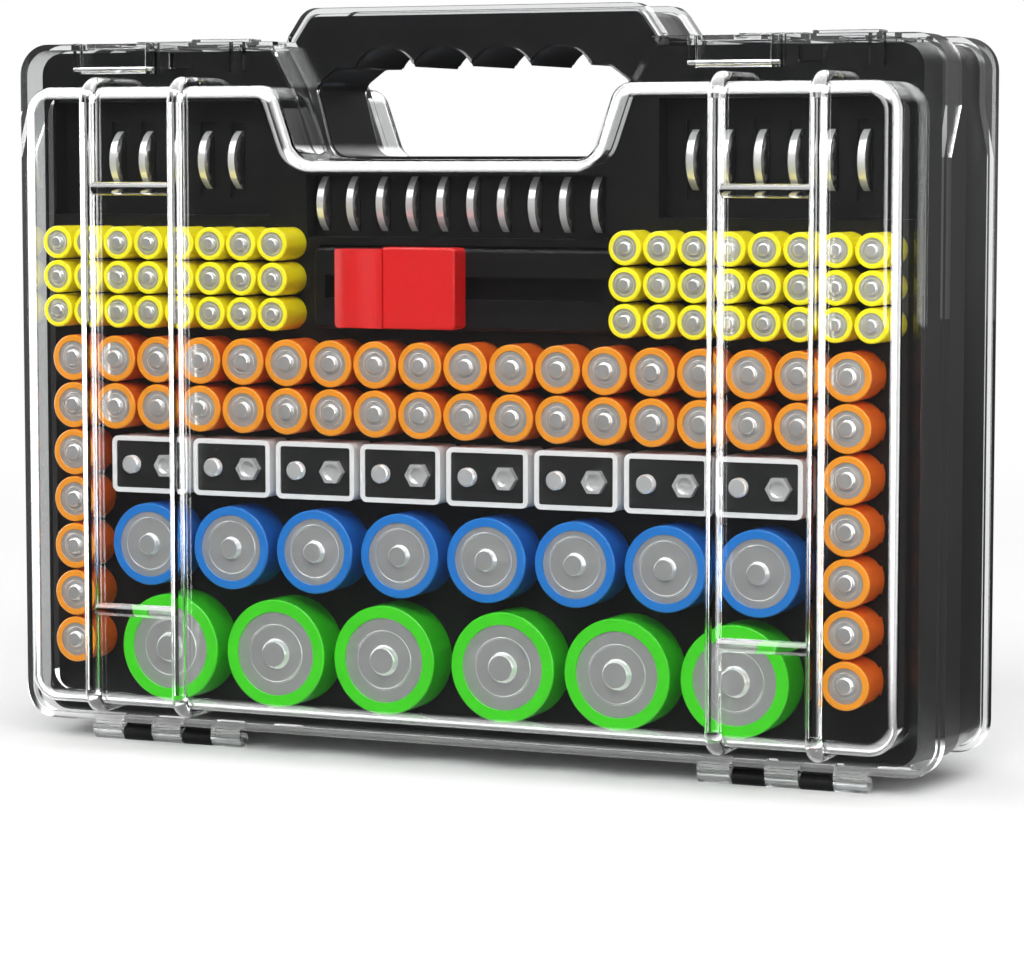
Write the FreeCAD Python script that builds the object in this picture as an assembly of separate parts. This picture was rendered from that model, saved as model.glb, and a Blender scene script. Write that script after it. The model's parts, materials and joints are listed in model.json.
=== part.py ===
import FreeCAD, Part
import math
import os

from FreeCAD import Vector

# Double-sided battery case, standing upright on its hinge knuckles.
# Millimetres. X runs along the width, -Y is the front, Z is up.
# The origin is on the floor, below the middle of the case.
# The rear side is the front side turned half a turn about Z, except for its cell pockets.

# Walls and clearances
tray_wall = 2.2
lid_wall = 1.8
lid_clearance = 0.3
shelf_gap = 0.2
socket_gap = 0.15
socket_end_gap = 0.2
socket_floor = 1.7
socket_wall = 1.0
label_step = 0.35
overrun = 1.0

# Hinges
hinge_centre_x = 104.6
knuckle_length = 10.8
knuckle_count = 5
knuckle_radius = 2.5
knuckle_flat = 0.3
knuckle_side_gap = 0.3
hinge_setback = 3.5
hinge_drop = 1.6
hinge_pin_radius = 0.95
pin_fit = 0.02
hinge_running_fit = 0.08
hinge_web = 3.2

# Standing cells, from the floor up
cell_headroom = 1.8

d_radius = 17.0
d_body_length = 59.8
d_nub_height = 1.3
d_ring_width = 3.8
d_nub_radius = 4.8
d_bead_radius = 9.05
d_middle_gap = 2.95
d_side_gap = 10.0
d_floor_gap = 0.8
d_per_side = 3

c_radius = 13.05
c_body_length = 48.6
c_nub_height = 1.3
c_ring_width = 2.65
c_nub_radius = 3.6
c_bead_radius = 8.25
c_count = 8
c_side_gap = 6.8
c_row_gap = 2.55

aa_radius = 7.25
aa_body_length = 49.4
aa_nub_height = 1.1
aa_ring_width = 1.9
aa_nub_radius = 2.6
aa_bead_radius = 3.7
aa_pitch = 15.18
aa_row_pitch = 15.07
aa_columns = 18
aa_full_rows = 2
aa_side_rows = 5
aa_row_gap = 2.13

aaa_radius = 5.15
aaa_body_length = 43.7
aaa_nub_height = 0.9
aaa_ring_width = 1.35
aaa_nub_radius = 1.9
aaa_bead_radius = 2.75
aaa_pitch = 10.93
aaa_row_pitch = 10.85
aaa_columns = 8
aaa_rows = 3
aaa_row_gap = 2.55
aaa_left_margin = 5.5
aaa_right_margin = 3.8

cap_plate = 0.5
cap_recess = 0.3
cap_bead_height = 0.25
cap_bead_width = 0.35
nub_edge_radius = 0.45
nub_tip_share = 0.8

# Nine volt blocks
block_width = 27.0
block_height = 17.9
block_length = 46.0
block_headroom = 2.7
block_corner_radius = 2.2
block_rim = 1.5
block_face_recess = 0.4
block_face_plate = 0.8
block_row_gap = 3.2
stud_spacing = 12.6
stud_height = 2.3
small_stud_radius = 2.9
small_stud_neck = 2.2
large_stud_radius = 3.9
large_stud_bore = 2.5
large_stud_bore_depth = 1.4
stud_sides = 6

# Coin cells
coin_radius = 10.0
coin_thickness = 3.2
coin_edge = 0.35
coin_slot_gap = 0.15
coin_stand = 4.4
coin_bay_depth = 7.0
coin_well_depth = 1.2
coin_well_side = 1.1
coin_well_end = 2.1
side_bay_row_gap = 3.6
side_bay_height = 35.7
side_bay_margin = 2.4
side_bay_end = 10.35
side_coin_offset = -3.0
side_coin_pitch = 10.7
side_coin_count = 6
side_coin_drop = 0.55
middle_bay_centre_x = -1.8
middle_bay_end = 2.95
middle_bay_gap = 3.2
middle_bay_height = 19.3
middle_coin_offset = -1.0
middle_coin_pitch = 10.26
middle_coin_count = 10
middle_coin_lift = 0.65

rear_bay_gap = 2.8
rear_bay_height = 20.9
rear_coin_pitch = 9.4
rear_coin_count = 8
rear_coin_stand = 4.2

# Cell tester
tester_left_gap = 5.2
tester_right_gap = 0.9
tester_row_gap = 3.35
tester_height = 25.0
tester_above_deck = 5.5
tester_depth = 18.0
tester_gap = 0.3
tester_edge_radius = 2.5
slider_rest = 10.9
slider_width = 41.0
slider_height = 24.9
slider_lift = 0.6
slider_headroom = 1.6
slider_running_gap = 0.3
slider_thumb_width = 16.0
slider_thumb_crown = 6.0
slider_thumb_hollow = 2.0
slider_thumb_fall = 1.2
slider_thumb_drop = 0.65
slider_groove_width = 1.2
slider_groove_depth = 2.0
slider_edge_radius = 1.6
rail_neck = 7.0
rail_neck_depth = 3.5
rail_foot = 12.0
rail_foot_depth = 3.0
rail_gap = 0.1
rail_end_wall = 4.0
slider_travel_left = 6.0
contact_thickness = 0.6
contact_depth = 6.0

# Case outline
side_margin = 18.2
panel_margin = 9.5
bottom_shelf = 7.7
top_shelf = 13.8
bay_to_panel = 4.6
panel_rise = 15.3
rim_corner_radius = 10.0
d_tray_gap = 0.8
side_draft = 0.03
side_lean = 4.5

# Handle, and the notch that the lids leave round it
dip_above_coins = 3.8
dip_bottom_half_width = 48.7
dip_top_half_width = 56.6
dip_corner_radius = 7.0
notch_setback = 0.4
notch_top_half_width = 63.8
notch_corner_radius = 6.6
notch_bend_radius = 8.0
handle_rise = 10.5
handle_top_half_width = 56.5
handle_corner_radius = 7.0
handle_foot_radius = 3.0
handle_depth = 31.8

# Finger hole
hole_above_dip = 0.9
hole_bottom_half_width = 47.1
hole_side_half_width = 52.8
hole_shoulder_half_width = 45.0
hole_shoulder_drop = 8.1
finger_pitch = 19.6
finger_arch_rise = 6.0
hole_corner_radius = 6.0
hole_shoulder_radius = 4.0
finger_count = 4

# Lid
lid_skirt_depth = 5.0
panel_corner_radius = 9.0
panel_edge_radius = 4.5
handle_sheet_gap = 0.3
handle_skirt_depth = 5.0
hole_lip_clearance = 0.5
corner_skirt_depth = 10.0
corner_skirt_height = 21.0
corner_skirt_taper = 15.0
corner_skirt_run = 17.0

# Ribs on the lid
rib_outer_x = 120.7
rib_inner_x = 89.5
rib_radius = 2.6
rib_lift = 0.4
rib_channel_radius = 1.4
rib_bend_radius = 5.5
bar_radius = 2.1
bar_lift = 0.2
upper_bar_drop = 32.0
lower_bar_rise = 31.1

# Latches
latch_near_x = 90.1
latch_far_x = 118.6
latch_width = 23.6
latch_plate = 2.4
latch_plate_height = 9.6
latch_pivot_height = 1.4
latch_shelf_gap = 0.8
latch_tongue_width = 20.4
latch_tongue_thickness = 1.5
latch_tongue_reach = 12.0
latch_tip_length = 9.0
latch_tip_rise = 1.7
latch_body_gap = 0.5
latch_slot_gap = 0.4
latch_pin_radius = 0.7
latch_pin_fit = 0.04
latch_barrel_radius = 1.3
latch_window_width = 8.0
latch_window_length = 11.0
catch_gap = 0.5
catch_clearance = 0.2
lug_thickness = 2.2
lug_gap = 0.3
keeper_width = 25.6
keeper_height = 9.4
keeper_depth = 2.4
keeper_window_width = 7.6
keeper_window_height = 4.8
keeper_window_rise = 1.2
keeper_window_shift = 4.8
keeper_boss_gap = 0.4
keeper_boss_depth = 1.9
end_lug_width = 4.0

# Screws that close the trays
screw_head_radius = 2.9
screw_head_height = 1.9
screw_shank_radius = 1.4
screw_bite = 7.5
screw_hole_gap = 0.12
screw_head_gap = 0.2
screw_boss_radius = 3.9
screw_handle_boss_radius = 3.3
screw_top_inset = 12.2
screw_top_drop = 9.0
screw_handle_inset = 1.5
screw_handle_drop = 1.8
screw_foot_inset = 9.2
screw_foot_rise = 12.9
screw_bottom_x = 70.0
screw_bottom_rise = 6.3
boss_relief = 0.25

# Lying cells on the rear side, from the floor up
lying_headroom = 1.5
lying_gap = 0.2
lying_end_gap = 0.5
lying_least_gap = 1.2
lying_nub_length = 1.3
lying_nub_share = 0.38
lying_floor = 1.6
plateau_side_margin = 2.7
plateau_floor_gap = 0.5
row_end_margin = 2.9
big_plateau_rise = 5.2
middle_plateau_rise = 5.9
small_plateau_rise = 8.5
small_plateau_gap = 1.8
middle_plateau_gap = 1.9
lime_plateau_gap = 2.0
sky_plateau_gap = 1.2

slim_diameter = 8.1
slim_length = 42.4
slim_count = 6
slim_rows = 2
slim_row_pitch = 10.2
slim_floor_gap = 0.35

rear_aaa_diameter = 9.8
rear_aaa_length = 44.1
rear_aaa_count = 6
rear_aaa_rows = 2
rear_aaa_row_pitch = 11.5
rear_aaa_gap = 2.15

rear_aa_diameter = 14.2
rear_aa_length = 50.3
rear_aa_count = 5
rear_aa_full_rows = 2
rear_aa_row_pitch = 15.85
rear_aa_gap = 2.8

cyan_diameter = 9.1
cyan_short_length = 28.1
cyan_long_length = 34.5
cyan_gap = 5.4
cyan_drop = 0.4

lemon_diameter = 11.6
lemon_length = 24.8
lemon_middle_length = 29.8
lemon_count = 9
lemon_gap = 3.0

leaf_diameter = 15.4
leaf_short_length = 26.3
leaf_long_length = 30.8
leaf_gap = 5.1
leaf_row_gap = 5.1

lime_diameter = 17.2
lime_length = 65.4
lime_rows = 3
lime_pitch = 19.6
lime_row_gap = 3.5

sky_diameter = 16.2
sky_short_length = 32.4
sky_long_length = 53.4
sky_rows = 2
sky_pitch = 18.2
sky_gap = 5.9
sky_row_gap = 5.1

# Depths that follow: the case is as deep as its longest cell needs
shoulder_above_deck = shelf_gap + panel_rise - cell_headroom
longest_stack = d_body_length + socket_end_gap + socket_floor + d_tray_gap + tray_wall
deck = (longest_stack - shoulder_above_deck) / 2
body_depth = 2 * deck
cell_shoulder = deck + shoulder_above_deck
lid_shelf = deck + shelf_gap + lid_wall
shelf_back = lid_shelf - lid_wall
panel_face = lid_shelf + panel_rise
panel_back = panel_face - lid_wall
skirt_end = lid_shelf - lid_skirt_depth
block_rim_face = panel_back - block_headroom
lying_top = panel_back - lying_headroom
slider_face = panel_back - slider_headroom
tester_face = deck + tester_above_deck
tester_back = tester_face - tester_depth
coin_bay_floor = deck - coin_bay_depth
handle_face = handle_depth / 2
sheet_back = handle_face + handle_sheet_gap
handle_sheet_face = sheet_back + lid_wall
hinge_axis_y = deck - hinge_setback
hinge_axis_z = knuckle_radius - knuckle_flat
big_plateau = deck + big_plateau_rise
middle_plateau = deck + middle_plateau_rise
small_plateau = deck + small_plateau_rise

# Heights that follow, from the floor up
rim_bottom = hinge_axis_z + knuckle_radius + hinge_drop
panel_bottom = rim_bottom + bottom_shelf
d_z = panel_bottom + lid_wall + d_floor_gap + d_radius
c_z = d_z + d_radius + c_row_gap + c_radius
block_z = c_z + c_radius + block_row_gap + block_height / 2
aa_low_z = block_z + block_height / 2 + aa_row_gap + aa_radius
aa_top_z = aa_low_z + (aa_full_rows - 1) * aa_row_pitch
aaa_low_z = aa_top_z + aa_radius + aaa_row_gap + aaa_radius
aaa_top_z = aaa_low_z + (aaa_rows - 1) * aaa_row_pitch
tester_bottom = aa_top_z + aa_radius + tester_row_gap
tester_top = tester_bottom + tester_height
slider_bottom = tester_bottom + slider_lift
slider_top = slider_bottom + slider_height
middle_bay_bottom = tester_top + middle_bay_gap
middle_bay_top = middle_bay_bottom + middle_bay_height
middle_coin_z = (middle_bay_bottom + middle_bay_top) / 2 + middle_coin_lift
side_bay_bottom = aaa_top_z + aaa_radius + side_bay_row_gap
side_bay_top = side_bay_bottom + side_bay_height
side_coin_z = (side_bay_bottom + side_bay_top) / 2 - side_coin_drop
panel_top = side_bay_top + bay_to_panel
rim_top = panel_top + top_shelf
dip_bottom = middle_coin_z + coin_radius + dip_above_coins
notch_bottom = dip_bottom + notch_setback / 2
handle_top = rim_top + handle_rise
hole_bottom = dip_bottom + hole_above_dip
hole_shoulder = rim_top - hole_shoulder_drop
upper_bar_z = panel_top - upper_bar_drop
lower_bar_z = panel_bottom + lower_bar_rise
rear_plateau_bottom = panel_bottom + lid_wall + plateau_floor_gap
slim_low_z = rear_plateau_bottom + slim_floor_gap + slim_diameter / 2
slim_top_z = slim_low_z + (slim_rows - 1) * slim_row_pitch
rear_aaa_low_z = slim_top_z + slim_diameter / 2 + rear_aaa_gap + rear_aaa_diameter / 2
rear_aaa_top_z = rear_aaa_low_z + (rear_aaa_rows - 1) * rear_aaa_row_pitch
middle_plateau_bottom = rear_aaa_top_z + rear_aaa_diameter / 2 + small_plateau_gap
rear_aa_low_z = rear_aaa_top_z + rear_aaa_diameter / 2 + rear_aa_gap + rear_aa_diameter / 2
rear_aa_top_z = rear_aa_low_z + rear_aa_full_rows * rear_aa_row_pitch
cyan_z = rear_aa_low_z - cyan_drop
lemon_z = rear_aa_top_z + rear_aa_diameter / 2 + lemon_gap + lemon_diameter / 2
big_plateau_bottom = lemon_z + lemon_diameter / 2 + middle_plateau_gap
leaf_z = lemon_z + lemon_diameter / 2 + leaf_row_gap + leaf_diameter / 2
lime_low_z = lemon_z + lemon_diameter / 2 + lime_row_gap + lime_diameter / 2
lime_top_z = lime_low_z + (lime_rows - 1) * lime_pitch
sky_low_z = leaf_z + leaf_diameter / 2 + sky_row_gap + sky_diameter / 2
sky_top_z = sky_low_z + (sky_rows - 1) * sky_pitch
big_plateau_top = lime_top_z + lime_diameter / 2 + lime_plateau_gap
big_plateau_middle_top = sky_top_z + sky_diameter / 2 + sky_plateau_gap
rear_bay_bottom = big_plateau_top + rear_bay_gap
rear_bay_top = rear_bay_bottom + rear_bay_height
rear_coin_z = (rear_bay_bottom + rear_bay_top) / 2


def row_span(length):
    """Length that a lying cell takes with its nub."""
    return length + lying_nub_length


def even_reach(length, count):
    """Half the width of a row of cells with the least gap between them."""
    return (count * (row_span(length) + lying_least_gap) - lying_least_gap) / 2


def paired_reach(inner_length, outer_length, gap):
    """Half the width of four cells, two each side of the middle."""
    return gap / 2 + row_span(inner_length) + gap + row_span(outer_length)


# Widths that follow, from the wider of the AA columns and the rows of lying cells
row_reaches = [
    even_reach(slim_length, slim_count),
    even_reach(rear_aaa_length, rear_aaa_count),
    even_reach(rear_aa_length, rear_aa_count),
    even_reach((lemon_length + lemon_middle_length) / 2, lemon_count),
    paired_reach(cyan_long_length, cyan_short_length, cyan_gap) + lying_least_gap +
    row_span(rear_aa_length),
    paired_reach(leaf_long_length, leaf_short_length, leaf_gap) + lying_least_gap +
    row_span(lime_length),
    row_span(sky_long_length) / 2 + sky_gap + row_span(sky_short_length) + lying_least_gap +
    row_span(lime_length),
]
lying_half_width = max(row_reaches) + row_end_margin + plateau_side_margin + panel_margin
aa_column_x = aa_pitch * (aa_columns - 1) / 2
case_half_width = max(aa_column_x + aa_radius + side_margin, lying_half_width)
case_width = 2 * case_half_width
panel_half_width = case_half_width - panel_margin
body_inset = lid_wall + lid_clearance
body_bottom = rim_bottom + body_inset
body_top = rim_top - body_inset
d_inner_x = d_radius + d_middle_gap
d_outer_x = aa_column_x - aa_radius - d_side_gap - d_radius
d_pitch = (d_outer_x - d_inner_x) / (d_per_side - 1)
c_pitch = 2 * (aa_column_x - aa_radius - c_side_gap - c_radius) / (c_count - 1)
aaa_reach = aaa_pitch * (aaa_columns - 1) / 2
aaa_left_centre_x = -panel_half_width + aaa_left_margin + aaa_radius + aaa_reach
aaa_right_centre_x = panel_half_width - aaa_right_margin - aaa_radius - aaa_reach
tester_left = aaa_left_centre_x + aaa_reach + aaa_radius + tester_left_gap
tester_right = aaa_right_centre_x - aaa_reach - aaa_radius - tester_right_gap
slider_left = tester_left + slider_rest
side_bay_half_width = (side_coin_count - 1) * side_coin_pitch / 2 + coin_thickness / 2 + \
    side_bay_end
side_bay_centre_x = panel_half_width - side_bay_margin - side_bay_half_width
middle_bay_half_width = (middle_coin_count - 1) * middle_coin_pitch / 2 + coin_thickness / 2 + \
    middle_bay_end
rear_coin_centre_x = side_bay_centre_x
rear_plateau_half_width = panel_half_width - plateau_side_margin
row_reach = rear_plateau_half_width - row_end_margin


os.makedirs("parts", exist_ok=True)


def box(x0, x1, y0, y1, z0, z1):
    low = Vector(min(x0, x1), min(y0, y1), min(z0, z1))
    return Part.makeBox(abs(x1 - x0), abs(y1 - y0), abs(z1 - z0), low)


def rod_y(x, z, radius, y0, y1):
    low = min(y0, y1)
    return Part.makeCylinder(radius, abs(y1 - y0), Vector(x, low, z), Vector(0, 1, 0))


def rod_x(y, z, radius, x0, x1):
    low = min(x0, x1)
    return Part.makeCylinder(radius, abs(x1 - x0), Vector(low, y, z), Vector(1, 0, 0))


def half_turn(shape):
    turned = shape.copy()
    turned.rotate(Vector(0, 0, 0), Vector(0, 0, 1), 180)
    return turned


def moved(shape, x, y, z):
    copy = shape.copy()
    copy.translate(Vector(x, y, z))
    return copy


def fused(shapes):
    first = shapes[0]
    rest = shapes[1:]
    if not rest:
        return first
    return first.multiFuse(rest)


def grown(corners, distance):
    """Parallel outline, corners given counter-clockwise as (x, z, radius)."""
    count = len(corners)
    lines = []
    for index in range(count):
        x0, z0, _ = corners[index]
        x1, z1, _ = corners[(index + 1) % count]
        length = math.hypot(x1 - x0, z1 - z0)
        ux = (x1 - x0) / length
        uz = (z1 - z0) / length
        lines.append((x0 + uz * distance, z0 - ux * distance, ux, uz))
    result = []
    for index in range(count):
        ax, az, aux, auz = lines[index - 1]
        bx, bz, bux, buz = lines[index]
        turn = aux * buz - auz * bux
        share = ((bx - ax) * buz - (bz - az) * bux) / turn
        radius = corners[index][2]
        radius = radius + distance if turn > 0 else radius - distance
        result.append((ax + aux * share, az + auz * share, max(radius, label_step)))
    return result


def outline_wire(corners):
    """Wire in the XZ plane through rounded corners."""
    count = len(corners)
    arcs = []
    for index in range(count):
        x, z, radius = corners[index]
        px, pz, _ = corners[index - 1]
        nx, nz, _ = corners[(index + 1) % count]
        corner = Vector(x, 0, z)
        back = Vector(px - x, 0, pz - z).normalize()
        ahead = Vector(nx - x, 0, nz - z).normalize()
        half = back.getAngle(ahead) / 2
        reach = radius / math.tan(half)
        start = corner + back * reach
        end = corner + ahead * reach
        middle_way = (back + ahead).normalize()
        centre = corner + middle_way * (radius / math.sin(half))
        middle = centre - middle_way * radius
        arcs.append((start, middle, end))
    edges = []
    for index in range(count):
        start, middle, end = arcs[index]
        following = arcs[(index + 1) % count][0]
        edges.append(Part.Arc(start, middle, end).toShape())
        if end.distanceToPoint(following) > label_step / 100:
            edges.append(Part.LineSegment(end, following).toShape())
    return Part.Wire(edges)


def prism(corners, y0, y1):
    low = min(y0, y1)
    face = Part.Face(outline_wire(corners))
    solid = face.extrude(Vector(0, abs(y1 - y0), 0))
    solid.translate(Vector(0, low, 0))
    return solid


def mirrored_outline(right_side):
    """Corners listed up the right side, repeated in reverse down the left side."""
    left = [(-x, z, radius) for x, z, radius in reversed(right_side)]
    return right_side + left


def rectangle(x0, x1, z0, z1, radius):
    return [(x0, z0, radius), (x1, z0, radius), (x1, z1, radius), (x0, z1, radius)]


def export(name, shapes):
    shape = shapes[0] if len(shapes) == 1 else Part.Compound(shapes)
    for solid in shape.Solids:
        if not solid.isValid():
            print("not valid:", name)
            break
    print(name, len(shape.Solids), "solids")
    shape.exportStep("parts/" + name + ".step")


# Outlines shared by the trays and the lids
rim_outline = rectangle(-case_half_width, case_half_width, rim_bottom, rim_top, rim_corner_radius)
grip_outline = mirrored_outline([
    (dip_bottom_half_width - notch_setback, notch_bottom, notch_corner_radius),
    (dip_top_half_width - notch_setback, panel_top, notch_bend_radius),
    (notch_top_half_width, rim_top, handle_foot_radius),
    (handle_top_half_width, handle_top, handle_corner_radius),
])
panel_outline = [
    (-panel_half_width, panel_bottom, panel_corner_radius),
    (panel_half_width, panel_bottom, panel_corner_radius),
    (panel_half_width, panel_top, panel_corner_radius),
    (dip_top_half_width, panel_top, dip_corner_radius),
    (dip_bottom_half_width, dip_bottom, dip_corner_radius),
    (-dip_bottom_half_width, dip_bottom, dip_corner_radius),
    (-dip_top_half_width, panel_top, dip_corner_radius),
    (-panel_half_width, panel_top, panel_corner_radius),
]


def finger_hole(extra, y0, y1):
    """Grip hole with four finger arches along its top."""
    sides = mirrored_outline([
        (hole_bottom_half_width, hole_bottom, hole_corner_radius),
        (hole_side_half_width, panel_top, hole_shoulder_radius),
        (hole_shoulder_half_width, hole_shoulder, hole_shoulder_radius),
    ])
    pieces = [prism(grown(sides, extra), y0, y1)]
    half_pitch = finger_pitch / 2
    arch_radius = (half_pitch ** 2 + finger_arch_rise ** 2) / (2 * finger_arch_rise)
    arch_z = hole_shoulder + finger_arch_rise - arch_radius
    first = -finger_pitch * (finger_count - 1) / 2
    for index in range(finger_count):
        pieces.append(rod_y(first + index * finger_pitch, arch_z, arch_radius + extra, y0, y1))
    return fused(pieces)


# Places of the front cells, as (x, z)
def d_places():
    row = [d_inner_x + index * d_pitch for index in range(d_per_side)]
    return [(side * x, d_z) for side in (-1, 1) for x in row]


def c_places():
    return [((index - (c_count - 1) / 2) * c_pitch, c_z) for index in range(c_count)]


def block_places():
    return [(x, block_z) for x, _ in c_places()]


def aa_places():
    places = []
    for row in range(aa_full_rows):
        for column in range(aa_columns):
            places.append((-aa_column_x + column * aa_pitch, aa_top_z - row * aa_row_pitch))
    for row in range(aa_full_rows, aa_full_rows + aa_side_rows):
        for side in (-1, 1):
            places.append((side * aa_column_x, aa_top_z - row * aa_row_pitch))
    return places


def aaa_places():
    places = []
    for centre in (aaa_left_centre_x, aaa_right_centre_x):
        for row in range(aaa_rows):
            for column in range(aaa_columns):
                x = centre + (column - (aaa_columns - 1) / 2) * aaa_pitch
                places.append((x, aaa_top_z - row * aaa_row_pitch))
    return places


def coin_row(centre, pitch, count):
    return [centre + (index - (count - 1) / 2) * pitch for index in range(count)]


def front_coin_places():
    places = []
    for side in (-1, 1):
        centre = side * side_bay_centre_x + side_coin_offset
        for x in coin_row(centre, side_coin_pitch, side_coin_count):
            places.append((x, side_coin_z))
    centre = middle_bay_centre_x + middle_coin_offset
    for x in coin_row(centre, middle_coin_pitch, middle_coin_count):
        places.append((x, middle_coin_z))
    return places


def rear_coin_places():
    places = []
    for side in (-1, 1):
        for x in coin_row(side * rear_coin_centre_x, rear_coin_pitch, rear_coin_count):
            places.append((x, rear_coin_z))
    return places


# Lying cells: diameter and a list of (x, z, length), x at the middle of the cell
def even_rows(diameter, length, count, heights):
    pitch = (2 * row_reach - row_span(length)) / (count - 1)
    places = []
    for z in heights:
        for index in range(count):
            places.append(((index - (count - 1) / 2) * pitch, z, length))
    return diameter, places


def slim_row():
    heights = [slim_top_z - row * slim_row_pitch for row in range(slim_rows)]
    return even_rows(slim_diameter, slim_length, slim_count, heights)


def rear_aaa_row():
    heights = [rear_aaa_top_z - row * rear_aaa_row_pitch for row in range(rear_aaa_rows)]
    return even_rows(rear_aaa_diameter, rear_aaa_length, rear_aaa_count, heights)


def rear_aa_row():
    heights = [rear_aa_top_z - row * rear_aa_row_pitch for row in range(rear_aa_full_rows)]
    diameter, places = even_rows(rear_aa_diameter, rear_aa_length, rear_aa_count, heights)
    end_x = row_reach - row_span(rear_aa_length) / 2
    for side in (-1, 1):
        places.append((side * end_x, rear_aa_low_z, rear_aa_length))
    return diameter, places


def paired_row(diameter, inner_length, outer_length, gap, z):
    """Four cells, two each side of the middle."""
    inner_x = (gap + row_span(inner_length)) / 2
    outer_x = inner_x + (row_span(inner_length) + row_span(outer_length)) / 2 + gap
    places = []
    for side in (-1, 1):
        places.append((side * inner_x, z, inner_length))
        places.append((side * outer_x, z, outer_length))
    return diameter, places


def cyan_row():
    return paired_row(cyan_diameter, cyan_long_length, cyan_short_length, cyan_gap, cyan_z)


def leaf_row():
    return paired_row(leaf_diameter, leaf_long_length, leaf_short_length, leaf_gap, leaf_z)


def lemon_row():
    diameter, places = even_rows(lemon_diameter, lemon_length, lemon_count, [lemon_z])
    middle = (lemon_count - 1) // 2
    places[middle] = (places[middle][0], lemon_z, lemon_middle_length)
    return diameter, places


def lime_row():
    places = []
    for row in range(lime_rows):
        for side in (-1, 1):
            places.append((side * lime_x(), lime_top_z - row * lime_pitch, lime_length))
    return lime_diameter, places


def lime_x():
    return row_reach - row_span(lime_length) / 2


def sky_row():
    side_x = (row_span(sky_long_length) + row_span(sky_short_length)) / 2 + sky_gap
    places = []
    for row in range(sky_rows):
        z = sky_top_z - row * sky_pitch
        places.append((-side_x, z, sky_short_length))
        places.append((side_x, z, sky_short_length))
        places.append((0, z, sky_long_length))
    return sky_diameter, places


lying_cells = {
    "rear_lime_cells": lime_row(),
    "rear_light_blue_cells": sky_row(),
    "rear_green_cells": leaf_row(),
    "rear_yellow_cells": lemon_row(),
    "rear_orange_cells": rear_aa_row(),
    "rear_cyan_cells": cyan_row(),
    "rear_blue_cells": rear_aaa_row(),
    "rear_slim_green_cells": slim_row(),
}

# Screw places, as (x, z, y of the seat of the head, boss radius)
screw_places = []
for screw_side in (-1, 1):
    screw_places.append((screw_side * (case_half_width - screw_top_inset),
                         rim_top - screw_top_drop, deck, screw_boss_radius))
    screw_places.append((screw_side * (hole_side_half_width + screw_handle_inset),
                         rim_top - screw_handle_drop, handle_face, screw_handle_boss_radius))
    screw_places.append((screw_side * (case_half_width - screw_foot_inset),
                         rim_bottom + screw_foot_rise, deck, screw_boss_radius))
    screw_places.append((screw_side * screw_bottom_x, rim_bottom + screw_bottom_rise, deck,
                         screw_boss_radius))


def knuckle_span(side, index):
    """X range of one knuckle of the hinge on the given side."""
    low = side * hinge_centre_x + (index - knuckle_count / 2) * knuckle_length
    return low + knuckle_side_gap / 2, low + knuckle_length - knuckle_side_gap / 2


def knuckle(x0, x1):
    """Hinge knuckle with a flat underside, which the case stands on."""
    barrel = rod_x(-hinge_axis_y, hinge_axis_z, knuckle_radius, x0, x1)
    return barrel.cut(box(x0 - overrun, x1 + overrun, -deck, 0, -knuckle_radius, 0))


# Tray shell: one half of the black body, front half, open at the parting plane
def drafted(corners, depth, inset, lean):
    """Block in front of the parting plane, whose sides lean in by the draft of the mould."""
    parting = outline_wire(grown(corners, -inset))
    leaning = []
    for x, z, radius in grown(corners, -inset - depth * side_draft):
        shift = lean * depth / deck if abs(x) > panel_half_width else 0
        leaning.append((x - math.copysign(shift, x), z, radius))
    face = outline_wire(leaning)
    face.translate(Vector(0, -depth, 0))
    return Part.makeLoft([face, parting], True, True)


def tray_block(lean):
    """Outside of a tray half, whose left and right sides lean in towards the deck."""
    block = drafted(rim_outline, deck, body_inset, lean)
    block = block.fuse(drafted(grip_outline, handle_face, body_inset, lean))
    return block.cut(prism(grown(grip_outline, body_inset), -deck - overrun, -handle_face))


def tray_shell(lean):
    outer = tray_block(lean)
    inside = body_inset + tray_wall
    grip_front = -handle_face + tray_wall
    hollow = drafted(rim_outline, deck - tray_wall, inside, lean)
    hollow = hollow.fuse(prism(grown(rim_outline, -inside), 0, overrun))
    hollow = hollow.cut(prism(grown(grip_outline, inside), -deck, grip_front))
    hollow = hollow.fuse(prism(grown(grip_outline, -inside), grip_front, overrun))
    hollow = hollow.cut(finger_hole(tray_wall, -deck, 2 * overrun))
    shell = outer.cut(hollow)
    return shell.cut(finger_hole(0, -deck - overrun, overrun))


def knuckles_on_body():
    """Black hinge knuckles under the front edge of the body."""
    pieces = []
    for side in (-1, 1):
        for index in (1, 3):
            x0, x1 = knuckle_span(side, index)
            pieces.append(knuckle(x0, x1))
            pieces.append(box(x0, x1, -hinge_axis_y, -hinge_axis_y + knuckle_radius,
                              hinge_axis_z, body_bottom + tray_wall / 2))
    return pieces


def hinge_bores(radius):
    half = knuckle_count * knuckle_length / 2 + overrun
    bores = []
    for side in (-1, 1):
        centre = side * hinge_centre_x
        bores.append(rod_x(-hinge_axis_y, hinge_axis_z, radius, centre - half, centre + half))
    return bores


def front_latch_places():
    return [-latch_far_x, latch_near_x]


def keeper_places():
    return [-latch_near_x, latch_far_x]


def keeper_window(x, gap):
    """X and Z range of the window in one keeper, less a gap all round."""
    middle = x - keeper_window_shift
    low = rim_top - keeper_height + keeper_window_rise
    half = keeper_window_width / 2 - gap
    return middle - half, middle + half, low + gap, low + keeper_window_height - gap


def keeper_bosses():
    """Black bosses that show in the windows of the lid's keepers."""
    pieces = []
    for x in keeper_places():
        x0, x1, z0, z1 = keeper_window(x, keeper_boss_gap)
        pieces.append(box(x0, x1, -deck - keeper_boss_depth, -deck + tray_wall / 2, z0, z1))
    return pieces


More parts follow.
